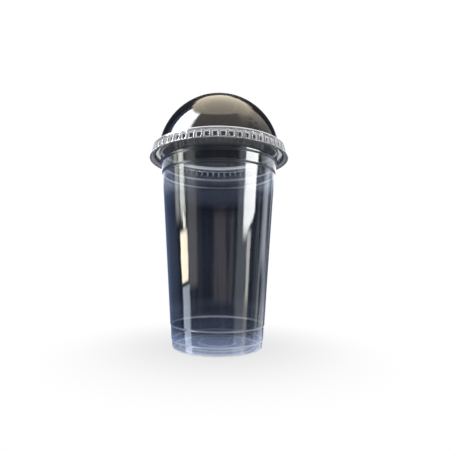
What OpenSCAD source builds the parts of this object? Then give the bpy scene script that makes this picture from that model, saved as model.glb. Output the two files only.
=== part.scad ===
// Clear disposable cup with a snap-on dome lid, both vacuum-formed from thin plastic sheet.
// The origin is the centre of the foot, +Z is up, and all lengths are in millimetres.
// Each piece is one sheet: a path through the middle of its wall, thickened and turned about Z.

/* [Sheet] */
// Radius of the bends at steps and corners, to the middle of the sheet
bend_r = 0.5; // [0.3:0.1:0.8]

/* [Cup] */
// Height of the cup from the table to the top of its rim
cup_h = 153; // [130:1:180]
// Outside diameter of the rolled rim
rim_d = 98; // [92:0.5:106]
// Outside diameter at the foot
foot_d = 70.6; // [60:0.2:78]
// Thickness of the cup's sheet
cup_wall = 0.35; // [0.3:0.05:0.7]
// Radius of the rolled rim, to the middle of its sheet
curl_r = 1.6; // [1.2:0.1:2.2]
// How far round the rolled rim turns, in degrees
curl_turn = 290; // [200:5:300]
// Rounding between the foot and the wall
foot_round = 1.4; // [0.8:0.1:2.5]

/* [Floor] */
// Width of the flat ring that the cup stands on
foot_ring_w = 4.8; // [3:0.1:7]
// Height of the raised floor over the foot
floor_rise = 2.4; // [1:0.1:4]
// Radial run of the slope from the floor down to the foot
floor_run = 2; // [1:0.1:3]
// Width of the level floor between its edge and the dish
floor_w = 12; // [8:0.5:14]
// Height of the dish over the floor
dish_rise = 0.6; // [0.3:0.1:1.5]

/* [Cup steps] */
// Height of the lowest step over the table
heel_step_z = 6.4; // [5:0.1:10]
// Height of the second step over the table
low_step_z = 17.7; // [14:0.1:30]
// Drop of the lower stacking step below the rim's top
stack_drop = 18.8; // [16:0.1:26]
// Drop of the upper stacking step below the rim's top
neck_drop = 11.4; // [9:0.1:14]
// Radial size of the two steps near the foot
foot_step = 0.45; // [0.3:0.05:0.9]
// Radial size of the two steps near the rim
stack_step = 0.65; // [0.4:0.05:1.2]
// Height that each step takes
step_rise = 0.8; // [0.6:0.1:1.4]
// Lean of the short bands between steps, in degrees from upright
band_lean = 2.6; // [0:0.2:4]

/* [Lid] */
// Thickness of the lid's sheet
lid_wall = 0.3; // [0.25:0.05:0.5]
// Height of the lid from its flat shoulder to its flat top
dome_h = 36.6; // [30:0.2:40]
// How far the dome's side meets the shoulder inside the rim's outside
dome_inset = 2; // [1:0.1:4]
// Diameter of the dome's flat top
top_d = 34.8; // [28:0.2:40]
// Radius that turns the dome's side into its flat top
crown_r = 12; // [8:0.5:14]
// Radius between the dome and the shoulder
shoulder_round = 1; // [0.6:0.1:1.6]
// Width of the flat ring between the pressed disc and the crown
disc_margin = 3.9; // [2:0.1:8]
// Depth of the pressed disc
disc_depth = 0.9; // [0.4:0.1:2]

/* [Lid ring] */
// Gap between the rim's top and the shoulder that rests over it
seat_gap = 0.2; // [0.15:0.05:0.4]
// Gap between the rim's outside and the pockets that grip round it
grip_gap = 0.3; // [0.2:0.05:0.6]
// How far the ring's top edge stands out past the rim
ring_reach = 2.7; // [2.2:0.1:4]
// How far the ring flares from its top edge to its lip
ring_spread = 1.5; // [0.5:0.1:3]
// Width of the flat lip
lip_w = 0.7; // [0.4:0.1:1.4]
// Height of the ring from its lip to the shoulder
ring_h = 7.8; // [7:0.1:10]
// Rounding of the ring's top edge
ring_round = 0.6; // [0.4:0.1:1]
// Number of pockets pressed into the ring
pocket_n = 60; // [40:4:72]
// Share of the pitch that a pocket takes
pocket_share = 0.62; // [0.4:0.01:0.66]
// Plain band above the pockets
pocket_drop = 2.2; // [1.6:0.1:3]
// Plain band below the pockets
pocket_lift = 0.9; // [0.6:0.1:1.4]
// Slope of a pocket's roof and floor, as the height that each gives up
pocket_slope = 0.7; // [0.3:0.1:1]

/* [Hidden] */
$fn = 96;

// Degrees between the points of a long arc and of a bend, and the turn from which a corner is a bend
arc_step = 6;
bend_step = 14;
sharp_turn = 10;
clear_pet = [0.62, 0.67, 0.74, 0.45];

// The cup's levels, through the middle of its sheet
foot_z = cup_wall / 2;
floor_z = foot_z + floor_rise;
dish_z = floor_z + dish_rise;
stack_step_z = cup_h - stack_drop;
neck_step_z = cup_h - neck_drop;
curl_z = cup_h - cup_wall / 2 - curl_r;

// The cup's radii, through the middle of its sheet, worked inwards from the foot and from the rim
foot_r = foot_d / 2 - cup_wall / 2;
ring_in_r = foot_r - foot_round - foot_ring_w;
floor_r = ring_in_r - floor_run;
dish_r = floor_r - floor_w;
heel_top_r = foot_r + band_gain(heel_step_z);
low_base_r = heel_top_r + foot_step;
low_top_r = low_base_r + band_gain(low_step_z - heel_step_z);
wall_base_r = low_top_r + foot_step;
mouth_r = rim_d / 2 - cup_wall / 2 - 2 * curl_r;
neck_base_r = mouth_r - band_gain(curl_z - neck_step_z);
stack_top_r = neck_base_r - stack_step;
stack_base_r = stack_top_r - band_gain(neck_step_z - stack_step_z);
wall_top_r = stack_base_r - stack_step;

// The lid's levels, through the middle of its sheet
shoulder_z = cup_h + seat_gap + lid_wall / 2;
dome_top_z = shoulder_z + dome_h;
disc_z = dome_top_z - disc_depth;
lip_z = shoulder_z - ring_h;

// The dome's side is one arc about a point on the axis, dome_sink below the shoulder.
// It passes through the foot of the dome and touches the crown's arc from inside.
top_r = top_d / 2;
disc_r = top_r - disc_margin;
dome_foot_r = rim_d / 2 - dome_inset;
crown_rise = dome_h - crown_r;
crown_ratio = crown_rise / crown_r;
crown_excess = square_of(crown_r) - square_of(top_r) - square_of(crown_rise);
crown_reach = (square_of(dome_foot_r) + crown_excess) / (2 * crown_r);
dome_sink = quadratic_root(
    square_of(crown_ratio) - 1,
    crown_ratio * crown_reach,
    square_of(crown_reach) - square_of(dome_foot_r)
);
dome_r = crown_reach - crown_ratio * dome_sink;
dome_z = shoulder_z - dome_sink;
crown_turn = atan2(crown_rise + dome_sink, top_r);
fillet_x = across(dome_r + shoulder_round, dome_sink + shoulder_round);
fillet_turn = atan2(dome_sink + shoulder_round, fillet_x);

// The ring's radii, taken from the rim that it covers
ring_top_r = rim_d / 2 + ring_reach - lid_wall / 2;
ring_base_r = ring_top_r + ring_spread;
lip_r = ring_base_r + lip_w;
ring_flare = atan2(ring_spread, ring_h);

// The pockets: their inner face clears the rim, and a sheet's thickness lies round each
pocket_in_r = rim_d / 2 + grip_gap;
pocket_top_z = shoulder_z - pocket_drop;
pocket_base_z = lip_z + pocket_lift;
pocket_pitch = 360 / pocket_n;
pocket_turn = pocket_pitch * pocket_share;
pocket_wall_turn = atan2(lid_wall, pocket_in_r);

function square_of(x) = x * x;
// Smaller root of a x^2 - 2 b x + c = 0
function quadratic_root(a, b, c) = (b - sqrt(square_of(b) - a * c)) / a;
// Radius that a leaning band gains over a height
function band_gain(h) = h * tan(band_lean);
// The other leg of a right triangle
function across(hypotenuse, leg) = sqrt(square_of(hypotenuse) - square_of(leg));
// Radius of the ring's sheet at a height
function ring_r(z) = ring_top_r + (shoulder_z - z) * tan(ring_flare);
// Height that a pocket's sloped roof or floor has given up at a radius
function pocket_loss(r) = pocket_slope * (ring_top_r - r) / (ring_top_r - pocket_in_r);
// Points along an arc between two angles
function arc(centre, r, from, to, step = arc_step) =
    let (n = ceil(abs(to - from) / step))
    [for (i = [0 : n]) centre + r * [cos(from + (to - from) * i / n), sin(from + (to - from) * i / n)]];
// Direction from one point to the next
function heading(a, b) = (b - a) / norm(b - a);
// Left-hand normal of a direction
function left(d) = [-d[1], d[0]];
// Angle of a direction
function angle_of(d) = atan2(d[1], d[0]);
// Points for a path's point i: an arc where the path turns sharply there, otherwise the point itself
function bend(path, i) =
    let (into = heading(path[i - 1], path[i]))
    let (out = heading(path[i], path[i + 1]))
    let (turn = atan2(cross(into, out), into * out))
    let (room = min(norm(path[i] - path[i - 1]), norm(path[i + 1] - path[i])) / 2)
    let (setback = min(bend_r * tan(abs(turn) / 2), room))
    let (r = setback / tan(abs(turn) / 2))
    let (to_centre = left(into) * sign(turn))
    let (centre = path[i] - into * setback + to_centre * r)
    let (from = angle_of(-to_centre))
    abs(turn) < sharp_turn ? [path[i]] : arc(centre, r, from, from + turn, bend_step);
// The same path with every corner between its ends bent
function formed(path) =
    let (last = len(path) - 1)
    [path[0], for (i = [1 : last - 1]) each bend(path, i), path[last]];
// Step from a path's point i to a line that runs beside the path at distance 1
function aside(path, i) =
    let (last = len(path) - 1)
    let (into = left(heading(path[max(i - 1, 0)], path[max(i, 1)])))
    let (out = left(heading(path[min(i, last - 1)], path[min(i + 1, last)])))
    (into + out) / (1 + into * out);
// Outline of a sheet of even thickness round a path
function sheet(path, thick) =
    let (last = len(path) - 1)
    concat(
        [for (i = [0 : last]) path[i] + aside(path, i) * thick / 2],
        [for (i = [0 : last]) path[last - i] - aside(path, last - i) * thick / 2]
    );

function cup_path() = concat(
    [[0, dish_z]],
    [[dish_r - dish_rise, dish_z]],
    [[dish_r, floor_z]],
    [[floor_r, floor_z]],
    [[ring_in_r, foot_z]],
    arc([foot_r - foot_round, foot_z + foot_round], foot_round, -90, 0),
    step_path(heel_step_z, heel_top_r, low_base_r),
    step_path(low_step_z, low_top_r, wall_base_r),
    step_path(stack_step_z, wall_top_r, stack_base_r),
    step_path(neck_step_z, stack_top_r, neck_base_r),
    arc([mouth_r + curl_r, curl_z], curl_r, 180, 180 - curl_turn)
);

// The two corners of one step in the cup's wall
function step_path(z, below_r, above_r) = [
    [below_r, z - step_rise / 2],
    [above_r, z + step_rise / 2]
];

function lid_path() = concat(
    [[0, disc_z]],
    [[disc_r - disc_depth, disc_z]],
    [[disc_r, dome_top_z]],
    arc([top_r, dome_top_z - crown_r], crown_r, 90, crown_turn),
    dome_arc(),
    arc([fillet_x, shoulder_z + shoulder_round], shoulder_round, fillet_turn + 180, 270),
    arc([ring_top_r - ring_round, shoulder_z - ring_round], ring_round, 90, ring_flare),
    [[ring_base_r, lip_z]],
    [[lip_r, lip_z]]
);

// The dome's round side, without its ends, which the crown and the fillet already give
function dome_arc() =
    let (side = arc([0, dome_z], dome_r, crown_turn, fillet_turn))
    [for (i = [1 : len(side) - 2]) side[i]];

// A pocket's section between an inner radius and the radii of its mouth
// Its roof and floor are moved in by a margin
function pocket_section(margin, in_r, low_r, high_r) = [
    [in_r, pocket_base_z + margin + pocket_loss(in_r)],
    [low_r, pocket_base_z + margin + pocket_loss(low_r)],
    [high_r, pocket_top_z - margin - pocket_loss(high_r)],
    [in_r, pocket_top_z - margin - pocket_loss(in_r)]
];

// One section at every pocket, turned through an angle about the pocket's middle
module at_pockets(turn, section) {
    for (i = [0 : pocket_n - 1])
        rotate((i + 0.5) * pocket_pitch - turn / 2)
            rotate_extrude(angle = turn)
                polygon(section);
}

// Cup: dished floor, foot ring, stepped and tapered wall, rolled rim
module cup() {
    color(clear_pet)
        rotate_extrude()
            polygon(sheet(formed(cup_path()), cup_wall));
}

// Lid: pressed disc, dome, flat shoulder, flared ring with a row of pockets, flat lip
module lid() {
    color(clear_pet)
        difference() {
            union() {
                rotate_extrude()
                    polygon(sheet(formed(lid_path()), lid_wall));
                at_pockets(
                    pocket_turn + 2 * pocket_wall_turn,
                    pocket_section(0, pocket_in_r, ring_r(pocket_base_z), ring_r(pocket_top_z))
                );
            }
            at_pockets(pocket_turn, pocket_section(lid_wall, pocket_in_r + lid_wall, lip_r, lip_r));
        }
}

cup();
lid();
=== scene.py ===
# %% [markdown]
# # A clear cup with a dome lid
#
# The real thing is two thin sheets of clear plastic, each heated and drawn into a mould: a tall stepped
# cup with a rolled rim, and a dome with a ring of pressed pockets that snaps over that rim. Nothing on it
# is thicker than a fingernail, so the look depends on three things: where the sheet bends, how much light
# each wall lets through, and what the walls mirror. The script takes them in that order.
#
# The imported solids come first. They fix the size and the place of everything that follows.

import bpy
import numpy as np
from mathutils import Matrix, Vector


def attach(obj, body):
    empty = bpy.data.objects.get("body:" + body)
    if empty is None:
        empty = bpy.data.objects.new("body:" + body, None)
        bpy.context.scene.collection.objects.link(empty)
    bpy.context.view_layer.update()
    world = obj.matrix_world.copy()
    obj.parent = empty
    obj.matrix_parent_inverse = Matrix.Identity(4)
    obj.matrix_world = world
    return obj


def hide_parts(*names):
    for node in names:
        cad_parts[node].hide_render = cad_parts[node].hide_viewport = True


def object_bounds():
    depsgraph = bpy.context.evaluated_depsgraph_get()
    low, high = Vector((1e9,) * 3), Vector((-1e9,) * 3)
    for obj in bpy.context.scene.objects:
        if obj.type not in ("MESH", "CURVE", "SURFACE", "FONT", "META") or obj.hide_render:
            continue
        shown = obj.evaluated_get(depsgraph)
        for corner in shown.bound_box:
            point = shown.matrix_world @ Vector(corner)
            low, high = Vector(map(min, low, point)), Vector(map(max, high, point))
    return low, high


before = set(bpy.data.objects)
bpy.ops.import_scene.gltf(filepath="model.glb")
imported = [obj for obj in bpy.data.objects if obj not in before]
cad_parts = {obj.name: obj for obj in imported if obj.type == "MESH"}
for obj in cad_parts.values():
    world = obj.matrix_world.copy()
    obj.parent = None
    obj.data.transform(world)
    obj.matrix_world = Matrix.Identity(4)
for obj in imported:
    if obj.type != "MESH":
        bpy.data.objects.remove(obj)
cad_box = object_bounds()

MM = 0.001

cad_size = (np.subtract(cad_box[1], cad_box[0]) / MM).round(1)
print("solids:", sorted(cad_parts), "box in mm:", cad_size.tolist())

# %% [markdown]
# ## The line through the middle of a sheet
#
# A turned piece could be made with the Spin tool or a Screw modifier, but both take a fixed outline, and
# the lid's pockets need an outline that changes with the angle. So each piece starts as a line of points,
# (radius, height) in millimetres, through the middle of its wall. A hot sheet never folds to a sharp
# corner, so the line is averaged along its length, which rounds every corner a little. Points are then
# kept close together where the line turns and far apart where it runs straight.

# %% Helpers for a line
ARC_POINTS = 60
LINE_STEP = 0.05  # spacing of the worked line, mm
BELL_REACHES = 3  # how far a bell curve is followed, in its own reaches
CREASE, CREASE_STEP = 0.4, 0.3  # turning that makes a crease, radians a mm, and its points' spacing, mm


def arc(centre, radius, start, end):
    """Part of a circle: the centre plus radius times (cosine, sine) of evenly spaced angles in degrees."""
    turn = np.radians(np.linspace(start, end, ARC_POINTS))
    return np.array(centre) + radius * np.column_stack((np.cos(turn), np.sin(turn)))


def read_off(line, measure, at):
    """Every column of a line where a measure that grows along it reaches the given values."""
    return np.column_stack([np.interp(at, measure, column) for column in line.T])


def lengths(line):
    """The length of a line up to each of its points: the running sum of the distances between them."""
    return np.concatenate(([0.0], np.cumsum(np.hypot(*np.diff(line[:, :2], axis=0).T))))


def even_line(line):
    """The same line with a point every LINE_STEP: every column read off at equal lengths."""
    along = lengths(line)
    return read_off(line, along, np.linspace(0, along[-1], int(along[-1] / LINE_STEP) + 1))


def soften(line, reach):
    """Each point becomes the mean of its neighbours, weighted by a bell curve of that reach in mm.
    Past its ends the line goes on as its own mirror image through the end point."""
    half = int(BELL_REACHES * reach / LINE_STEP)
    bell = np.exp(-0.5 * (np.arange(-half, half + 1) * LINE_STEP / reach) ** 2)
    padded = np.pad(line, ((half, half), (0, 0)), mode="reflect", reflect_type="odd")
    return np.column_stack([np.convolve(column, bell / bell.sum(), "valid") for column in padded.T])


def with_creases(line, reach):
    """The line with a third column: how far it turns in each mm, as radians, spread by a bell curve."""
    step = np.gradient(line, axis=0)
    turning = np.abs(np.gradient(np.unwrap(np.arctan2(step[:, 1], step[:, 0])))) / LINE_STEP
    return np.column_stack((line, soften(turning[:, None], reach)))


def keep_bends(line, longest):
    """The line's points at whole steps of a measure. It grows by one over each `longest` mm, and also by
    one over each CREASE_STEP where the line turns as sharply as a crease."""
    growth = LINE_STEP * (1 / longest + np.minimum(line[:, 2] / CREASE, 1) / CREASE_STEP)
    measure = np.concatenate(([0.0], np.cumsum(growth[1:])))
    return read_off(line, measure, np.linspace(0, measure[-1], int(measure[-1]) + 2))


def share_at(line, radius, height):
    """How far along a line, as a share of its length, its nearest point to a place is."""
    fine = even_line(line)
    return float(np.hypot(*(fine[:, :2] - (radius, height)).T).argmin()) / (len(fine) - 1)


print("line helpers ready, worked every", LINE_STEP, "mm")

# %% [markdown]
# ## From a line to a closed sheet
#
# The middle of the sheet is a grid: one row for each point of the line, one column for each angle. Two
# directions lie in the sheet at every grid point, along the line and round the axis, and their cross
# product stands square to it. Half a wall to each side gives the two faces, and a small half circle joins
# them at the free edge. Solidify would do the same, but here the edge gets its own roundness, and the
# points can keep what the finish asks for later: how sharply the sheet bends, how far along it they are,
# how deep a pocket presses them, and which face they lie on.

# %% Helpers for a sheet
EDGE_TURNS = np.radians((30, 60, 90, 120, 150))


def unit(v):
    """A field of vectors, each divided by its own length."""
    return v / np.linalg.norm(v, axis=-1, keepdims=True)


def middle_grid(radius, height, angle):
    """Points (radius cos, radius sin, height) of a radius field over rows and angles, with unit normals.
    The normal is the cross product of the step along the line and the step round the axis."""
    outward = np.stack((np.cos(angle), np.sin(angle), 0 * angle), axis=-1)
    around = np.stack((-np.sin(angle), np.cos(angle), 0 * angle), axis=-1)
    up = np.array((0.0, 0.0, 1.0))
    place = radius[..., None] * outward + height[:, None, None] * up
    gap = np.roll(angle, -1) - np.roll(angle, 1)
    swing = (np.roll(radius, -1, axis=1) - np.roll(radius, 1, axis=1)) / (gap % (2 * np.pi))
    along = np.gradient(radius, axis=0)[..., None] * outward + np.gradient(height)[:, None, None] * up
    across = np.maximum(radius, MM)[..., None] * around + swing[..., None] * outward
    return place, unit(np.cross(along, across))


def closed_sheet(place, normal, wall):
    """Rows of points that go out along one face, half a wall from the middle, round the free edge in a
    half circle and back along the other face."""
    run_out = unit(np.cross(normal[-1], np.cross(place[-1] - place[-2], normal[-1])))
    turn = EDGE_TURNS[:, None, None]
    edge = place[-1] + wall / 2 * (np.cos(turn) * normal[-1] + np.sin(turn) * run_out)
    return np.concatenate((place + wall / 2 * normal, edge, (place - wall / 2 * normal)[::-1]))


def sheet_mesh(name, rows, fields):
    """One closed mesh from rows of points whose first and last rows lie on the axis: a fan at each of these
    poles and four-sided faces between the other rows. Each field of numbers is stored with the points."""
    count, turns = rows.shape[:2]
    points = np.concatenate((rows[:1, 0], rows[1:-1].reshape(-1, 3), rows[-1:, 0])) * MM
    ring = 1 + np.arange((count - 2) * turns).reshape(count - 2, turns)
    after = np.roll(ring, -1, axis=1)
    quads = np.stack((ring[:-1], after[:-1], after[1:], ring[1:]), axis=-1).reshape(-1, 4)
    last = np.full(turns, len(points) - 1)
    first_fan = np.stack((0 * last, after[0], ring[0]), axis=-1)
    last_fan = np.stack((last, ring[-1], after[-1]), axis=-1)
    fans = np.concatenate((first_fan, last_fan))
    corners = np.concatenate((quads[:, (0, 1, 2)], quads[:, (0, 2, 3)], fans))
    a, b, c = (points[corners[:, k]] for k in range(3))
    if np.einsum("ij,ij->", a, np.cross(b, c)) < 0:  # six times the volume: negative means inside out
        quads, fans = quads[:, ::-1], fans[:, ::-1]
    mesh = bpy.data.meshes.new(name)
    mesh.from_pydata(points.tolist(), [], quads.tolist() + fans.tolist())
    mesh.polygons.foreach_set("use_smooth", np.ones(len(mesh.polygons), bool))
    for field, value in fields.items():
        stored = np.concatenate((value[:1, 0], value[1:-1].ravel(), value[-1:, 0]))
        mesh.attributes.new(field, "FLOAT", "POINT").data.foreach_set("value", stored.astype(np.float32))
    mesh.update()
    piece = bpy.data.objects.new(name, mesh)
    bpy.context.scene.collection.objects.link(piece)
    print(name, len(corners), "triangles, box in mm", (np.ptp(points, axis=0) / MM).round(1).tolist())
    return piece


def formed_sheet(name, line, radius, angle, wall, press, worn):
    """A closed piece from its middle line and the radius of that line at each angle. Its points keep the
    line's turning, their share of its length, the pressing, and whether their face is the one that carries
    the painted white highlights. For each row, that flag is 1 if that is the face that the normal points out
    of, and 0 if it is the other."""
    place, normal = middle_grid(radius, line[:, 1], angle)
    edge = len(EDGE_TURNS)
    along = lengths(line)[:, None] / lengths(line)[-1]
    one_face = {"crease": line[:, 2:] + 0 * radius, "along": along + 0 * radius, "press": press}
    fields = {k: np.concatenate((v, np.repeat(v[-1:], edge, axis=0), v[::-1])) for k, v in one_face.items()}
    faces = np.concatenate((worn, np.repeat(worn[-1:], edge), 1 - worn[::-1]))
    fields["worn"] = faces[:, None] + 0 * fields["along"]
    return sheet_mesh(name, closed_sheet(place, normal, wall), fields)


print("sheet helpers ready, free edges rounded in", len(EDGE_TURNS) + 1, "steps")

# %% [markdown]
# ## The cup
#
# From the middle outwards: a shallow dish in a raised floor, a slope down to the flat ring that the cup
# stands on, a short rounded heel, two small steps, the long taper, two larger steps that keep stacked cups
# from jamming, and the rim, which is the sheet's own edge rolled over while hot. All of it is one line, so
# the steps and the curl stay part of one wall.

# %% The cup's line
CUP_H, CUP_WALL = 153.0, 0.35
RIM_R, CURL_R, CURL_TURN = 49.0, 1.6, 290
FOOT_R, FOOT_ROUND, FOOT_RING_W = 35.3, 1.4, 4.8
FLOOR_RISE, FLOOR_RUN, FLOOR_W, DISH_RISE = 2.4, 2.0, 12.0, 0.6
STEP_Z = np.array((6.4, 17.7, CUP_H - 18.8, CUP_H - 11.4))
FOOT_STEP, STACK_STEP, STEP_RISE = 0.45, 0.65, 0.8
BAND_LEAN = np.tan(np.radians(2.6))
CUP_SOFT, CUP_SPREAD, CUP_LONGEST = 0.22, 0.3, 6.0  # mm

foot_z, foot_r = CUP_WALL / 2, FOOT_R - CUP_WALL / 2
floor_z = foot_z + FLOOR_RISE
dish_z = floor_z + DISH_RISE
ring_in_r = foot_r - FOOT_ROUND - FOOT_RING_W
floor_r = ring_in_r - FLOOR_RUN
dish_r = floor_r - FLOOR_W
curl_z = CUP_H - CUP_WALL / 2 - CURL_R
mouth_r = RIM_R - CUP_WALL / 2 - 2 * CURL_R

heel_r = foot_r + STEP_Z[0] * BAND_LEAN
low_r = heel_r + FOOT_STEP + (STEP_Z[1] - STEP_Z[0]) * BAND_LEAN
neck_r = mouth_r - (curl_z - STEP_Z[3]) * BAND_LEAN
stack_r = neck_r - STACK_STEP - (STEP_Z[3] - STEP_Z[2]) * BAND_LEAN
below_step = (heel_r, low_r, stack_r - STACK_STEP, neck_r - STACK_STEP)
above_step = (heel_r + FOOT_STEP, low_r + FOOT_STEP, stack_r, neck_r)
below_corners = np.column_stack((below_step, STEP_Z - STEP_RISE / 2))
above_corners = np.column_stack((above_step, STEP_Z + STEP_RISE / 2))

cup_corners = np.concatenate(
    (
        [(0, dish_z), (dish_r - DISH_RISE, dish_z), (dish_r, floor_z)],
        [(floor_r, floor_z), (ring_in_r, foot_z)],
        arc((foot_r - FOOT_ROUND, foot_z + FOOT_ROUND), FOOT_ROUND, -90, 0),
        np.stack((below_corners, above_corners), axis=1).reshape(-1, 2),
        arc((mouth_r + CURL_R, curl_z), CURL_R, 180, 180 - CURL_TURN),
    )
)
cup_line = with_creases(soften(even_line(cup_corners), reach=CUP_SOFT), reach=CUP_SPREAD)
cup_line = keep_bends(cup_line, longest=CUP_LONGEST)
print("cup line:", len(cup_line), "points; mouth", round(mouth_r, 2), "mm, foot", round(foot_r, 2), "mm")

# %% Turn the cup
CUP_TURNS = 240

cup_angle = np.linspace(0, 2 * np.pi, CUP_TURNS, endpoint=False)
cup_radius = np.repeat(cup_line[:, :1], CUP_TURNS, axis=1)
unpressed = np.zeros_like(cup_radius)
inside_glint_face = np.ones(len(cup_line))
cup = formed_sheet("cup_shell", cup_line, cup_radius, cup_angle, CUP_WALL, unpressed, inside_glint_face)
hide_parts("cup")
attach(cup, "cup_body")

# %% [markdown]
# ## The lid
#
# The dome's side is one arc about a point on the axis. A tighter crown turns it into a flat top with a
# shallow pressed disc. At its foot the sheet runs flat over the cup's rim and then drops in a flared ring
# that ends in a narrow lip. The dome's arc has to meet the crown without a corner, which is a quadratic
# in how far its centre lies below the shoulder, so the arcs always join smoothly.

# %% The lid's line
LID_WALL, SEAT_GAP, GRIP_GAP = 0.3, 0.2, 0.3
DOME_H, DOME_INSET, TOP_R, CROWN_R = 36.6, 2.0, 17.4, 12.0
SHOULDER_ROUND, DISC_MARGIN, DISC_DEPTH = 1.0, 3.9, 0.9
RING_REACH, RING_SPREAD, RING_H, RING_ROUND, LIP_W = 2.7, 1.5, 7.8, 0.6, 0.7
LID_SOFT, LID_SPREAD, RING_LONGEST, DOME_LONGEST = 0.15, 0.2, 0.42, 5.0  # mm

shoulder_z = CUP_H + SEAT_GAP + LID_WALL / 2
top_z = shoulder_z + DOME_H
lip_z = shoulder_z - RING_H
disc_r = TOP_R - DISC_MARGIN
ring_top_r = RIM_R + RING_REACH - LID_WALL / 2
ring_base_r = ring_top_r + RING_SPREAD
ring_flare = np.degrees(np.arctan2(RING_SPREAD, RING_H))

dome_foot_r = RIM_R - DOME_INSET
crown_rise = DOME_H - CROWN_R
crown_ratio = crown_rise / CROWN_R
crown_reach = (dome_foot_r**2 + CROWN_R**2 - TOP_R**2 - crown_rise**2) / (2 * CROWN_R)
square, middle = crown_ratio**2 - 1, crown_ratio * crown_reach
dome_sink = (middle - np.sqrt(middle**2 - square * (crown_reach**2 - dome_foot_r**2))) / square
dome_r = crown_reach - crown_ratio * dome_sink
crown_turn = np.degrees(np.arctan2(crown_rise + dome_sink, TOP_R))
fillet_x = np.sqrt((dome_r + SHOULDER_ROUND) ** 2 - (dome_sink + SHOULDER_ROUND) ** 2)
fillet_turn = np.degrees(np.arctan2(dome_sink + SHOULDER_ROUND, fillet_x))

lid_corners = np.concatenate(
    (
        [(0, top_z - DISC_DEPTH), (disc_r - DISC_DEPTH, top_z - DISC_DEPTH), (disc_r, top_z)],
        arc((TOP_R, top_z - CROWN_R), CROWN_R, 90, crown_turn),
        arc((0, shoulder_z - dome_sink), dome_r, crown_turn, fillet_turn)[1:-1],
        arc((fillet_x, shoulder_z + SHOULDER_ROUND), SHOULDER_ROUND, fillet_turn + 180, 270),
        arc((ring_top_r - RING_ROUND, shoulder_z - RING_ROUND), RING_ROUND, 90, ring_flare),
        [(ring_base_r, lip_z), (ring_base_r + LIP_W - LID_WALL / 2, lip_z)],
    )
)
lid_line = with_creases(soften(even_line(lid_corners), reach=LID_SOFT), reach=LID_SPREAD)
on_ring = (lid_line[:, 0] > ring_top_r - RING_ROUND) & (lid_line[:, 1] < shoulder_z - RING_ROUND)
lid_line = keep_bends(lid_line, longest=np.where(on_ring, RING_LONGEST, DOME_LONGEST))
print("lid line:", len(lid_line), "points; dome radius", round(dome_r, 2), "mm")

# %% [markdown]
# ## The ring of pockets
#
# The pockets are what makes this lid hard to draw and easy to recognise. Each is pressed inwards from the
# ring until it nearly touches the rim, with a sloped roof and floor and steep sides. They could be cut one
# by one with booleans, but a formed sheet keeps its thickness all round them. So the pockets are a change
# of the radius: the ring's own radius, less its distance to the rim times how far it is pressed. That is a
# soft step up and down the height, times a soft step across each pocket's width. The angles are bunched
# where the pocket's sides are, since nothing happens between them.

# %% Press the pockets
POCKETS, POCKET_DROP, POCKET_LIFT, POCKET_SLOPE = 60, 2.2, 0.9, 0.8
SIDE_AT, SIDE_W = 0.325, 0.09  # middle and width of a pocket's side, as shares of the pitch from its centre
SIDE_SAMPLES = np.array((0.265, 0.295, 0.325, 0.355, 0.385))


def soft_step(x):
    """Nought below 0, one above 1, and 3x^2 - 2x^3 between."""
    x = np.clip(x, 0, 1)
    return x * x * (3 - 2 * x)


off_centre = np.concatenate((-SIDE_SAMPLES[::-1], [0.0], SIDE_SAMPLES))
pitch = 2 * np.pi / POCKETS
lid_angle = ((np.arange(POCKETS)[:, None] + 0.5 + off_centre) * pitch).ravel()
lid_z = lid_line[:, 1]
below_roof = soft_step((shoulder_z - POCKET_DROP - lid_z) / POCKET_SLOPE)
above_base = soft_step((lid_z - lip_z - POCKET_LIFT) / POCKET_SLOPE)
between_sides = soft_step((SIDE_AT + SIDE_W / 2 - np.abs(off_centre)) / SIDE_W)
past_dome = (lid_line[:, 0] > fillet_x) * 1.0
pressing = (below_roof * above_base * past_dome)[:, None] * np.tile(between_sides, POCKETS)
grip_r = RIM_R + GRIP_GAP + LID_WALL / 2
lid_radius = lid_line[:, :1] - (lid_line[:, :1] - grip_r) * pressing
pocket_depth = float((lid_line[:, :1] - lid_radius).max())
print(POCKETS, "pockets,", len(lid_angle), "angles; depth", round(pocket_depth, 2), "mm")

# %% Turn the lid
lid = formed_sheet("lid_shell", lid_line, lid_radius, lid_angle, LID_WALL, pressing, past_dome)
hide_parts("lid")
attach(lid, "lid_body")

# %% [markdown]
# ## Writing a finish as sums
#
# A finish here is mostly arithmetic on masks, which is slow to read as a tangle of nodes. The class below
# wraps one socket, so that a sum on it adds the Math node that does the sum, and one method adds any other
# node. The rest of the script can then say what a mask is in one line.


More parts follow.
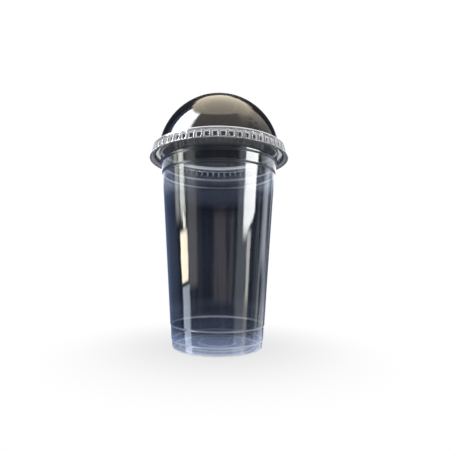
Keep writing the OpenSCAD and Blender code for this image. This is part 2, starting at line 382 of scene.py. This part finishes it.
# %% The wire class
class Wire:
    """One socket of a node tree. An operator on it adds a Math node, and node() adds any other node."""

    def __init__(self, tree, socket):
        self.tree, self.socket = tree, socket

    @classmethod
    def node(cls, tree, kind, settings=None, inputs=None, output=0):
        """A new node: first its settings, then a value or a wire for each named input. Gives one output."""
        made = tree.nodes.new(kind)
        for key, value in (settings or {}).items():
            if key == "stops":
                cls.set_stops(made.color_ramp, value)
            else:
                setattr(made, key, value)
        for key, value in (inputs or {}).items():
            if isinstance(value, cls):
                tree.links.new(value.socket, made.inputs[key])
            else:
                made.inputs[key].default_value = value
        return cls(tree, made.outputs[output]) if len(made.outputs) else None

    @staticmethod
    def set_stops(ramp, stops):
        """Gives a colour ramp its stops: pairs of a position from 0 to 1 and a colour."""
        while len(ramp.elements) < len(stops):
            ramp.elements.new(1.0)
        for element, (position, colour) in zip(ramp.elements, stops):
            element.position, element.color = position, (*colour, 1.0)

    def math(self, operation, first, second=0.0):
        """A Math node of that operation on two numbers or wires."""
        return self.node(self.tree, "ShaderNodeMath", {"operation": operation}, {0: first, 1: second})

    def __add__(self, other):
        return self.math("ADD", self, other)

    __radd__ = __add__

    def __sub__(self, other):
        return self.math("SUBTRACT", self, other)

    def __rsub__(self, other):
        return self.math("SUBTRACT", other, self)

    def __mul__(self, other):
        return self.math("MULTIPLY", self, other)

    __rmul__ = __mul__

    def __abs__(self):
        return self.math("ABSOLUTE", self)

    def rise(self, low, high):
        """Nought up to low, one from high on, with a soft step between."""
        ends = {"Value": self, "From Min": low, "From Max": high}
        return self.node(self.tree, "ShaderNodeMapRange", {"interpolation_type": "SMOOTHSTEP"}, ends)

    def colours(self, first, second):
        """The first colour where this is nought, the second where it is one. Each is a wire or (r, g, b)."""
        first, second = (c if isinstance(c, Wire) else (*c, 1.0) for c in (first, second))
        inputs = {0: self, 6: first, 7: second}  # the Mix node's factor and its two colours
        return self.node(self.tree, "ShaderNodeMix", {"data_type": "RGBA"}, inputs, output=2)


print("wire class ready")

# %% [markdown]
# ## Clear plastic
#
# A Principled shader with full transmission is glass with real refraction. Both faces of a wall are
# modelled, so light bends in and out again and passes nearly straight, as it does through a thin sheet.
# A sheet of plain glass would all but vanish on a white background. So the outer face has a smoky tint,
# which is painted shade: it stands in for the dark room that clear plastic shows through itself, and it
# changes along the sheet's line to paint lighter and darker bands that give the walls their depth. Such a
# shader takes the square root of its colour at each face that it lets light through, so the tint is squared
# first and the other face is left white. On the ring the inner face is tinted and the outer face carries the
# painted white.
#
# The other face carries painted highlights. Where the sheet bends sharply, and on the sloped sides of the
# pockets, a matt white is mixed in that stands in for glints of light on the bends. The cup's floor and
# the lid's ring have a thin painted glow of the same white as well. Fine upright forming lines, slow waves
# and a little haze break up what the plastic mirrors. For lamp rays alone the shader is plain tinted
# transparency, so that the floor gets a soft, pale shadow in place of the black one that bent rays would
# leave.

# %% Helpers for a finish
WHITE, BLACK = (1.0, 1.0, 1.0), (0.0, 0.0, 0.0)


def empty_tree(owner):
    """The node tree of a material or world, with nothing in it."""
    owner.use_nodes = True
    owner.node_tree.nodes.clear()
    return owner.node_tree


def times(tree, first, second):
    """Two places or colours multiplied number by number."""
    return Wire.node(tree, "ShaderNodeVectorMath", {"operation": "MULTIPLY"}, {0: first, 1: second})


def noise(tree, place, scale, detail):
    """Soft noise from 0 to 1 over a place, with that many cells a metre and that many finer layers."""
    return Wire.node(tree, "ShaderNodeTexNoise", inputs={"Vector": place, "Scale": scale, "Detail": detail})


def ramp(tree, stops, along):
    """Colours that go over into each other between the stops of a ramp."""
    return Wire.node(tree, "ShaderNodeValToRGB", {"stops": stops}, {"Fac": along})


def levels(*stops):
    """Stops of a grey ramp, from pairs of a position and a level."""
    return [(position, (level,) * 3) for position, level in stops]


print("finish helpers ready")

# %% The clear finish
IOR = 1.5
# white of the painted highlights and the painted glow
PAINTED_WHITE = (0.93, 0.94, 0.96)
BEND_TURNING = (0.12, 0.45)  # turning from which a bend starts to get more roughness, painted white, and painted shade in the shaded part, and by which it has them fully, radians a mm
GLINT_TURNING = (0.36, 0.62)  # the same for a bend that gets a painted highlight on the tinted face
SIDE_GLINT_RISE, SIDE_GLINT_FALL = (0.02, 0.25), (0.55, 0.9)  # shares of a pocket's depth, for the painted highlight on its sides
# levels of the painted highlight on a pocket's sides and of the painted shade in bends past the shaded part
SIDE_GLINT, CREASE_PAINTED_SHADE = 0.6, 0.8
HAZE = (0.45, 0.75)  # noise from which there is haze and by which it is full
STEADY_GLINT_SHARE = 0.75  # share of the painted highlights that is there without haze
GLOSS, HAZE_BLUR, BEND_BLUR = 0.02, 0.05, 0.2  # roughness, and what haze and bends add to it
DRAWN = (1.0, 1.0, 0.06)  # draws the forming lines out along the height
LINE_DEPTH = 0.00004  # metres
NOWHERE, FADE = 2.0, 0.01  # a share of a line that no point reaches, and a short one


def clear_finish(
    name, painted_tints, painted_glows, painted_glints, wavy, shadow, painted_pocket_shade=BLACK, painted_shade_from=NOWHERE, painted_glint_share=0.0
):
    """Glass with a painted tint of light and shade on one face and painted white highlights on the other,
    each a ramp along the sheet's line. A pocket's tint goes over to the pocket's own painted shade. On the
    tinted face, bends past the given share of the line get painted shade, and sharp bends before it go over
    to white by the given share, a painted highlight. The share of painted white on the other face is the
    painted glow plus the painted highlight, less the two multiplied."""
    material = bpy.data.materials.new(name)
    tree = empty_tree(material)
    place = Wire.node(tree, "ShaderNodeTexCoord", output="Object")
    along, crease, press, worn = (
        Wire.node(tree, "ShaderNodeAttribute", {"attribute_name": field}, output="Fac")
        for field in ("along", "crease", "press", "worn")
    )
    bent = crease.rise(*BEND_TURNING) * (1 - press)
    lines = noise(tree, times(tree, place, DRAWN), scale=95.0, detail=2.0)
    waves = noise(tree, place, scale=38.0, detail=1.0)
    haze = noise(tree, place, scale=28.0, detail=3.0).rise(*HAZE)

    painted_tint = press.colours(ramp(tree, painted_tints, along), painted_pocket_shade)
    past = along.rise(painted_shade_from - FADE, painted_shade_from)
    painted_tint = (crease.rise(*GLINT_TURNING) * (1 - past) * painted_glint_share).colours(painted_tint, PAINTED_WHITE)
    painted_tint = (bent * past * CREASE_PAINTED_SHADE).colours(painted_tint, BLACK)
    uneven = lines * LINE_DEPTH + waves * wavy
    bump = Wire.node(tree, "ShaderNodeBump", inputs={"Strength": 1.0, "Distance": 1.0, "Height": uneven})
    glass = Wire.node(
        tree,
        "ShaderNodeBsdfPrincipled",
        inputs={
            "Base Color": worn.colours(times(tree, painted_tint, painted_tint), WHITE),
            "Roughness": GLOSS + haze * HAZE_BLUR + bent * BEND_BLUR,
            "IOR": IOR,
            "Transmission Weight": 1.0,
            "Normal": bump,
        },
    )

    painted_glow = ramp(tree, painted_glows, along) * (1 - press)
    side_glints = press.rise(*SIDE_GLINT_RISE) * (1 - press.rise(*SIDE_GLINT_FALL))
    glint = bent * ramp(tree, painted_glints, along) + side_glints * SIDE_GLINT
    glint = glint * (STEADY_GLINT_SHARE + haze * (1 - STEADY_GLINT_SHARE))
    painted_share = (painted_glow + glint - painted_glow * glint) * worn
    painted_matt = Wire.node(tree, "ShaderNodeBsdfDiffuse", inputs={"Color": (*PAINTED_WHITE, 1.0)})
    sheet = Wire.node(tree, "ShaderNodeMixShader", inputs={0: painted_share, 1: glass, 2: painted_matt})
    lamp_ray = Wire.node(tree, "ShaderNodeLightPath", output="Is Shadow Ray")
    passing = Wire.node(tree, "ShaderNodeBsdfTransparent", inputs={"Color": (*shadow, 1.0)})
    mixed = Wire.node(tree, "ShaderNodeMixShader", inputs={0: lamp_ray, 1: sheet, 2: passing})
    Wire.node(tree, "ShaderNodeOutputMaterial", inputs={"Surface": mixed})
    print(name, "has", len(tree.nodes), "nodes")
    return material


# %% [markdown]
# ### The cup's tint, painted light and shade
#
# The tint paints light and shade along the height. The floor and the foot are pale, the heel turns blue,
# the long wall is nearly black, and the neck is clear again at the rim. Two lighter bands, a little above
# the foot and under the stacking steps, let the far sides of the foot's upper step and of the lid's ring
# show through the near wall. On the outside the bends near the foot turn pale, a painted highlight, and the
# stacking steps dark, a painted shade in the creases, so that the near ones read as thin white lines and as
# dark ones. The far ones are seen from within, where all of them carry a painted white highlight.

# %% Finish the cup
# tints of the outer face along the cup's line, which paint light and shade
FLOOR_PAINTED_TINT, FOOT_PAINTED_TINT, RIM_PAINTED_TINT = (0.80, 0.86, 0.97), (0.66, 0.72, 0.84), (0.84, 0.86, 0.90)
WALL_PAINTED_TINTS = (  # heights in mm
    (3, (0.44, 0.49, 0.61)),
    (7.4, (0.33, 0.39, 0.53)),
    (10.4, (0.27, 0.32, 0.44)),
    (13.5, (0.20, 0.235, 0.32)),
    (16.6, (0.09, 0.105, 0.145)),
    (19, (0.085, 0.10, 0.135)),
    (21.5, (0.10, 0.115, 0.15)),
    (25, (0.12, 0.135, 0.17)),
    (27.5, (0.20, 0.225, 0.275)),
    (31, (0.20, 0.225, 0.275)),
    (36, (0.105, 0.12, 0.155)),
    (60, (0.125, 0.14, 0.175)),
    (94, (0.115, 0.13, 0.165)),
    (103, (0.07, 0.08, 0.11)),
    (114.5, (0.07, 0.08, 0.11)),
    (122, (0.42, 0.45, 0.51)),
    (131.5, (0.53, 0.56, 0.62)),
    (133, (0.145, 0.16, 0.20)),
    (142.8, (0.145, 0.16, 0.20)),
    (144, (0.50, 0.53, 0.58)),
    (147, (0.74, 0.77, 0.82)),
)
# painted glow on the cup's floor, and the height in mm where it ends
FLOOR_PAINTED_GLOW, GLOW_TOP_Z = 0.14, 3
WALL_PAINTED_GLINTS = ((138, 1.0), (139, 0.55), (145, 0.55), (146, 0.9))  # heights in mm and levels of painted highlight on the bends
# levels of painted highlight on the dish, the foot, the rim, the curl and the free edge
DISH_GLINT, FOOT_GLINT, RIM_GLINT, CURL_GLINT, EDGE_GLINT = 0.15, 1.0, 0.9, 0.4, 0.35
# share of the painted highlight on the outer face of the foot's bends, and the height in mm from which bends
# get painted shade instead
FOOT_PAINTED_GLINTS, PAINTED_SHADE_FROM_Z = 0.55, 110


def wall_share(height):
    """How far along the cup's line its wall is at a height in mm."""
    return share_at(cup_line, np.interp(height, (0, CUP_H), (foot_r, mouth_r)), height)


foot_share = share_at(cup_line, foot_r - FOOT_ROUND, foot_z)
curl_share = share_at(cup_line, mouth_r + CURL_R, curl_z + CURL_R)
cup_finish = clear_finish(
    "cup_clear_painted_light_and_shade",
    painted_tints=(
        (0.0, FLOOR_PAINTED_TINT),
        (foot_share, FOOT_PAINTED_TINT),
        *((wall_share(z), painted_tint) for z, painted_tint in WALL_PAINTED_TINTS),
        (1.0, RIM_PAINTED_TINT),
    ),
    painted_glows=levels((0.0, FLOOR_PAINTED_GLOW), (foot_share, FLOOR_PAINTED_GLOW), (wall_share(GLOW_TOP_Z), 0.0)),
    painted_glints=levels(
        (0.0, DISH_GLINT),
        (foot_share, FOOT_GLINT),
        *((wall_share(z), level) for z, level in WALL_PAINTED_GLINTS),
        (curl_share, RIM_GLINT),
        (curl_share + FADE, CURL_GLINT),
        (1.0, EDGE_GLINT),
    ),
    wavy=0.0002,
    shadow=(0.76, 0.77, 0.79),
    painted_shade_from=wall_share(PAINTED_SHADE_FROM_Z),
    painted_glint_share=FOOT_PAINTED_GLINTS,
)
cup.data.materials.append(cup_finish)

# %% [markdown]
# ### The lid's tint, painted light and shade
#
# The tint paints light and shade. The disc in the top is pale and warm, a painted reflection of a warm
# ceiling, the crown darkens, and the dome's side is nearly black down to the shoulder, a painted shade. The
# ring lets half of the light through, its pockets almost none, a painted shade in the recesses, and its lip
# little. Rays of diffuse light skip both pieces, so that the painted white and the floor are lit evenly and
# not through them.

# %% Finish the lid
# tints of the lid that paint light and shade: a painted reflection on the disc and crown, painted shade on
# the dome's side and in the pockets
DISC_PAINTED_TINT, RING_PAINTED_TINT = (0.60, 0.56, 0.50), (0.50, 0.51, 0.54)
LIP_PAINTED_TINT, EDGE_PAINTED_TINT = (0.13, 0.135, 0.15), (0.10, 0.105, 0.12)
SIDE_PAINTED_SHADE, POCKET_PAINTED_SHADE = (0.04, 0.041, 0.045), (0.02, 0.023, 0.03)
DOME_PAINTED_TINTS = (  # radius and height in mm
    ((disc_r, top_z), (0.60, 0.56, 0.48)),
    ((TOP_R, top_z), (0.42, 0.39, 0.34)),
    ((28, 185.7), (0.24, 0.225, 0.20)),
    ((36, 178), (0.065, 0.063, 0.06)),
    ((44, 165), SIDE_PAINTED_SHADE),
)
# painted glow on the ring, and levels of painted highlight on the dome's bends, the ring, the lip and the
# free edge
RING_PAINTED_GLOW, DOME_GLINT, RING_GLINT, LIP_GLINT, LID_EDGE_GLINT = 0.04, 0.9, 0.8, 0.3, 0.25
BAND_RISE, LIP_RISE = 1.9, 0.8  # above the lip, mm

ring_share = share_at(lid_line, dome_foot_r + SHOULDER_ROUND, shoulder_z)
band_share = share_at(lid_line, ring_base_r, lip_z + BAND_RISE)
lip_share = share_at(lid_line, ring_base_r, lip_z + LIP_RISE)
lid_finish = clear_finish(
    "lid_clear_painted_light_and_shade",
    painted_tints=(
        (0.0, DISC_PAINTED_TINT),
        *((share_at(lid_line, *place), painted_tint) for place, painted_tint in DOME_PAINTED_TINTS),
        (ring_share - 2 * FADE, SIDE_PAINTED_SHADE),
        (ring_share, RING_PAINTED_TINT),
        (band_share, RING_PAINTED_TINT),
        (lip_share, LIP_PAINTED_TINT),
        (1.0, EDGE_PAINTED_TINT),
    ),
    painted_glows=levels((ring_share - FADE, 0.0), (ring_share, RING_PAINTED_GLOW)),
    painted_glints=levels((0.0, DOME_GLINT), (band_share, RING_GLINT), (lip_share, LIP_GLINT), (1.0, LID_EDGE_GLINT)),
    wavy=0.0001,
    shadow=(0.76, 0.76, 0.76),
    painted_pocket_shade=POCKET_PAINTED_SHADE,
)
lid.data.materials.append(lid_finish)
cup.visible_diffuse = lid.visible_diffuse = False

# %% [markdown]
# ## The camera
#
# The photograph was taken close up, level, from well below the lid: the foot is seen a little from above
# and the ring from underneath. The rings' ellipses give the height and the distance. A level camera with
# shift keeps the cup's sides true, and the slight lean in the picture is a roll about the view.

# %% Set up the camera
PICTURE = 450  # pixels each way
SENSOR = 36.0  # mm
EYE = (0.0, -0.273, 0.0639)
FOCAL_PX = 345.0
AXIS_PX = (218.0, 265.0)  # where the view direction meets the picture
ROLL = 0.5  # degrees
NEAREST = 0.01  # distance from which things are drawn, m

camera_data = bpy.data.cameras.new("camera")
camera_data.sensor_width = SENSOR
camera_data.lens = SENSOR * FOCAL_PX / PICTURE
camera_data.shift_x = 0.5 - AXIS_PX[0] / PICTURE
camera_data.shift_y = AXIS_PX[1] / PICTURE - 0.5
camera_data.clip_start = NEAREST
camera = bpy.data.objects.new("camera", camera_data)
camera.location = EYE
camera.rotation_euler = (np.pi / 2, 0.0, 0.0)
camera.rotation_euler.rotate_axis("Z", np.radians(ROLL))
bpy.context.scene.collection.objects.link(camera)
bpy.context.scene.camera = camera
shift = (round(camera_data.shift_x, 4), round(camera_data.shift_y, 4))
print("lens", round(camera_data.lens, 2), "mm, shift", shift)

# %% [markdown]
# ## Floor, background and lamp
#
# Clear plastic shows its room twice: through itself and mirrored in its faces. Through itself it shows a
# white background and a pale floor that goes over into it. The floor is plain grey-white where the cup
# stands, so that it keeps the shadow, and turns into the white of the background further out. One large
# lamp straight above gives a soft shadow. It is hidden from mirror rays, which have a tent of their own.

# %% Floor
FLOOR_HALF, FLOOR_GREY = 4.0, (0.78, 0.78, 0.78)
FLOOR_FADES = (0.035, 0.14)  # distance from the axis, m


def stage_piece(name, points, faces):
    """A mesh that belongs to the set and not to the object, with an empty material tree to fill."""
    mesh = bpy.data.meshes.new(name)
    mesh.from_pydata(points.tolist(), [], faces.tolist())
    piece = bpy.data.objects.new(name, mesh)
    bpy.context.scene.collection.objects.link(piece)
    mesh.materials.append(bpy.data.materials.new(name))
    return piece, empty_tree(mesh.materials[0])


floor_corners = np.array(((-1, -1, 0), (1, -1, 0), (1, 1, 0), (-1, 1, 0))) * FLOOR_HALF
floor, floor_tree = stage_piece("pale_floor", floor_corners, np.array([(0, 1, 2, 3)]))
floor.visible_glossy = False
floor_place = Wire.node(floor_tree, "ShaderNodeTexCoord", output="Object")
away = Wire.node(
    floor_tree, "ShaderNodeVectorMath", {"operation": "LENGTH"}, {0: floor_place}, output="Value"
)
floor_grey = Wire.node(floor_tree, "ShaderNodeBsdfDiffuse", inputs={"Color": (*FLOOR_GREY, 1.0)})
floor_white = Wire.node(floor_tree, "ShaderNodeEmission", inputs={"Color": (*WHITE, 1.0), "Strength": 1.0})
floor_inputs = {0: away.rise(*FLOOR_FADES), 1: floor_grey, 2: floor_white}
faded = Wire.node(floor_tree, "ShaderNodeMixShader", inputs=floor_inputs)
Wire.node(floor_tree, "ShaderNodeOutputMaterial", inputs={"Surface": faded})
print("floor", 2 * FLOOR_HALF, "m wide, white from", FLOOR_FADES[1], "m out")

# %% Background
AMBIENT = (0.85, 0.85, 0.85)

world = bpy.data.worlds.new("white_room")
bpy.context.scene.world = world
world_tree = empty_tree(world)
camera_ray, glossy_ray, through_ray = (
    Wire.node(world_tree, "ShaderNodeLightPath", output=ray)
    for ray in ("Is Camera Ray", "Is Glossy Ray", "Is Transmission Ray")
)
seen = (camera_ray + glossy_ray + through_ray).rise(0.0, 1.0)
shown = seen.colours(AMBIENT, WHITE)
sky = Wire.node(world_tree, "ShaderNodeBackground", inputs={"Color": shown, "Strength": 1.0})
Wire.node(world_tree, "ShaderNodeOutputWorld", inputs={"Surface": sky})
print("background white where it is seen, ambient light", AMBIENT[0])

# %% Lamp
LAMP_SIZE, LAMP_Z, LAMP_LEVEL = 0.8, 1.1, 2.1

lamp_data = bpy.data.lights.new("overhead", "AREA")
lamp_data.size = LAMP_SIZE
lamp_data.energy = LAMP_LEVEL * np.pi * LAMP_SIZE**2
lamp = bpy.data.objects.new("overhead", lamp_data)
lamp.location = (0.0, 0.0, LAMP_Z)
lamp.visible_camera = lamp.visible_transmission = lamp.visible_glossy = False
bpy.context.scene.collection.objects.link(lamp)
print("overhead lamp", LAMP_SIZE, "m wide")

# %% [markdown]
# ## The tent that the walls mirror
#
# Glass is shot inside a dark cloth tent with a few bright openings, because a white room would leave its
# walls milky. Cards and lamps would do it in a studio. Here the tent is a turned sheet, a drum with a dome
# on top, that glows by itself. Only mirror rays see it, so it lights neither the floor nor the background.

# %% The tent's shape
TENT_R, TENT_LOW, TENT_HIGH = 0.6, -0.4, 0.5
TENT_TURNS, TENT_ROWS, POLE_R = 96, 13, 0.001

tent_rise = np.linspace(0, np.pi / 2, TENT_ROWS)[:-1]
tent_r = np.concatenate(([POLE_R, TENT_R], TENT_R * np.cos(tent_rise), [POLE_R]))
tent_z = np.concatenate(
    ([TENT_LOW, TENT_LOW], TENT_HIGH + TENT_R * np.sin(tent_rise), [TENT_HIGH + TENT_R])
)
tent_turn = np.linspace(0, 2 * np.pi, TENT_TURNS, endpoint=False)
tent_grid = tent_r[:, None] * np.ones(TENT_TURNS)
tent_points = np.stack(
    (tent_grid * np.cos(tent_turn), tent_grid * np.sin(tent_turn), tent_z[:, None] + 0 * tent_grid), axis=-1
).reshape(-1, 3)
tent_index = np.arange(len(tent_points)).reshape(-1, TENT_TURNS)
tent_next = np.roll(tent_index, -1, axis=1)
tent_faces = np.stack((tent_index[:-1], tent_next[:-1], tent_next[1:], tent_index[1:]), axis=-1)
tent, tent_tree = stage_piece("dark_tent", tent_points, tent_faces.reshape(-1, 4))
tent.visible_camera = tent.visible_transmission = tent.visible_diffuse = tent.visible_shadow = False
print("tent", 2 * TENT_R, "m across,", tent_faces[..., 0].size, "faces")

# %% [markdown]
# A place on the tent is found by its direction from the cup: degrees round the axis, with nought towards
# the camera and the right-hand side positive, and degrees above the lid's shoulder. The cup's upright walls
# mirror the drum, so their patches are also bounded by heights in metres. A slow ripple bends every edge a
# little, as cloth does, and upright folds are noise drawn out along the height.

# %% Directions on the tent
FOLD_DRAW = (1.0, 1.0, 0.25)
TURN_RIPPLE, LIFT_RIPPLE = 5, 4  # degrees
DRUM_TOP = (18, 28)  # degrees above the shoulder between which the upright walls' part ends

tent_place = Wire.node(tent_tree, "ShaderNodeTexCoord", output="Object")
x, y, z = (
    Wire.node(tent_tree, "ShaderNodeSeparateXYZ", inputs={0: tent_place}, output=axis) for axis in "XYZ"
)
folds = noise(tent_tree, times(tent_tree, tent_place, FOLD_DRAW), scale=7.0, detail=5.0)
ripple = noise(tent_tree, tent_place, scale=16.0, detail=1.0)
degrees = 180 / np.pi
turned = x.math("ARCTAN2", x, 0.0 - y) * degrees + (ripple - 0.5) * TURN_RIPPLE
level_out = x.math("SQRT", x * x + y * y)
lifted = z.math("ARCTAN2", z - shoulder_z * MM, level_out) * degrees + (ripple - 0.5) * LIFT_RIPPLE
from_front = abs(turned)
high = lifted.rise(*DRUM_TOP)
low = 1 - high


def strip(middle, half, edge, angle=turned):
    """One within half of an angle, nought beyond, with a soft edge, in degrees."""
    return 1 - abs(angle - middle).rise(half - edge, half + edge)


def above(start, full):
    """Nought up to a height on the tent, in metres, and one from the second height on."""
    return z.rise(start, full)


def below(full, end):
    """One up to a height on the tent, in metres, and nought from the second height on."""
    return 1 - z.rise(full, end)


print("directions ready, folds and ripple included")

# %% [markdown]
# The dark part is laid first, each patch over the last: the cloth with its folds, a dim panel in front, two
# grey strips beside the bright ones to come, a blue side on the left, a streaky side on the right, pale
# ends for the neck to mirror, and a dark back that gives the dome its black outline.

# %% The tent's dark part
DARK_FOLD, PALE_FOLD = (0.02, 0.026, 0.04), (0.30, 0.31, 0.34)
DARK_STREAK, PALE_STREAK = (0.22, 0.25, 0.33), (1.8, 1.9, 2.1)
PANEL, WARM_FRONT = (1.0, 0.92, 0.90), (1.1, 0.96, 0.90)
BLUE_SIDE, DARK_BACK = (0.22, 0.30, 0.52), (0.05, 0.055, 0.07)
GREY_RIGHT, GREY_LEFT = (1.5, 1.65, 1.8), (1.7, 1.68, 1.62)
NECK_RIGHT, NECK_LEFT = (2.4, 2.45, 2.5), (1.6, 1.75, 2.0)

lit = folds.rise(0.42, 0.72).colours(DARK_FOLD, PALE_FOLD)
panel = strip(12, half=20, edge=4) * above(-0.10, -0.07) * below(0.10, 0.14) * folds.rise(0.35, 0.55)
lit = panel.colours(lit, PANEL)
lit = (strip(49, half=11, edge=4) * low).colours(lit, GREY_RIGHT)
lit = (strip(-54, half=10, edge=5) * above(-0.06, -0.03) * low).colours(lit, GREY_LEFT)
lit = (strip(0, half=58, edge=8) * high).colours(lit, WARM_FRONT)
lit = (1 - turned.rise(-98, -90)).colours(lit, BLUE_SIDE)
lit = turned.rise(80, 96).colours(lit, folds.rise(0.42, 0.62).colours(DARK_STREAK, PALE_STREAK))
beside_neck = above(0.24, 0.28) * low
lit = (turned.rise(80, 92) * beside_neck).colours(lit, NECK_RIGHT)
lit = ((1 - turned.rise(-104, -92)) * beside_neck).colours(lit, NECK_LEFT)
lit = (from_front.rise(114, 126) * high).colours(lit, DARK_BACK)
print("dark part laid")

# %% [markdown]
# The bright part is for the highlights. A warm ceiling lights the dome's top and comes further down on the
# right, over a mottled side wall. One large pale opening high on the left makes the dome's white patch.
# Narrow upright strips left and right make the long highlights on the cup: on the left a cream one with
# two white streaks above it, a blue one below and a small curl between, on the right a broad one that
# narrows downwards, a thin one under it that goes on dimly to the foot, and a faint one near the edge.

# %% The tent's bright part
SIDE_LOW, SIDE_HIGH = (0.9, 0.86, 0.80), (2.4, 2.1, 1.7)
CEILING, OPENING = (3.4, 3.0, 2.35), (19.0, 19.3, 20.0)
CREAM, UPPER, LOWER = (22.0, 20.0, 15.5), (12.0, 12.4, 11.4), (6.0, 6.8, 8.0)
CURL, BROAD = (18.0, 17.5, 15.0), (20.0, 20.4, 20.6)
NARROW, DIM, FAINT = (9.0, 9.0, 8.5), (3.4, 3.2, 2.9), (2.8, 3.0, 3.4)
SIDE_SHARE = 0.45  # share of the side wall that shows between its mottles
SECOND_STREAK = 0.35  # share of the second streak that is laid over what is there
BROAD_FROM, BROAD_LEAST, BROAD_MORE = 51, 4, 9  # left edge, least half width and its growth upwards, degrees

side_wall = lifted.rise(32, 62).colours(SIDE_LOW, SIDE_HIGH)
mottled = SIDE_SHARE + (1 - SIDE_SHARE) * ripple.rise(0.35, 0.6)
lit = (strip(86, half=36, edge=9) * high * mottled).colours(lit, side_wall)
ceiling = lifted.rise(60, 64) + strip(105, half=42, edge=12) * lifted.rise(50, 62)
ceiling = ceiling + from_front.rise(130, 150) * lifted.rise(56, 62)
lit = ceiling.rise(0.0, 1.0).colours(lit, CEILING)
lit = (strip(-80, half=24, edge=4) * strip(46, half=15, edge=3, angle=lifted)).colours(lit, OPENING)
lit = (strip(-75, half=9.5, edge=2) * above(-0.03, -0.02) * below(0.085, 0.1)).colours(lit, CREAM)
streaks = strip(-75, half=6, edge=3) + SECOND_STREAK * strip(-89, half=5, edge=3)
lit = (streaks * above(0.10, 0.16) * low).colours(lit, UPPER)
lit = (strip(-73, half=10, edge=2) * below(-0.04, -0.03)).colours(lit, LOWER)
curl = strip(-76, half=8, edge=2) * above(0.09, 0.10) * below(0.14, 0.155)
lit = (curl * ripple.rise(0.5, 0.58)).colours(lit, CURL)
spread = BROAD_LEAST + BROAD_MORE * above(0.07, 0.15)
lit = (strip(BROAD_FROM + spread, half=spread, edge=3) * above(0.05, 0.11) * low).colours(lit, BROAD)
lit = (strip(64, half=5, edge=3) * below(-0.07, -0.05)).colours(lit, DIM)
lit = (strip(65, half=4, edge=3) * above(-0.09, -0.05) * below(0.08, 0.11)).colours(lit, NARROW)
lit = (strip(110, half=8, edge=6) * above(-0.02, 0.08) * low).colours(lit, FAINT)
glow = Wire.node(tent_tree, "ShaderNodeEmission", inputs={"Color": lit, "Strength": 1.0})
Wire.node(tent_tree, "ShaderNodeOutputMaterial", inputs={"Surface": glow})
print("bright part laid;", len(tent_tree.nodes), "nodes in the tent")

# %% [markdown]
# ## Hand over
#
# The view transform is Standard, so that a colour comes out as it was written. Light through several thin
# walls needs many bounces, or the ring turns black. The box of the imported solids and the box of each new
# piece are printed where they are made.

# %% Finish
BOUNCES = 32

scene = bpy.context.scene
scene.view_settings.view_transform = "Standard"
scene.cycles.max_bounces = BOUNCES
scene.cycles.transmission_bounces = BOUNCES
scene.cycles.transparent_max_bounces = BOUNCES
print("up to", BOUNCES, "bounces")
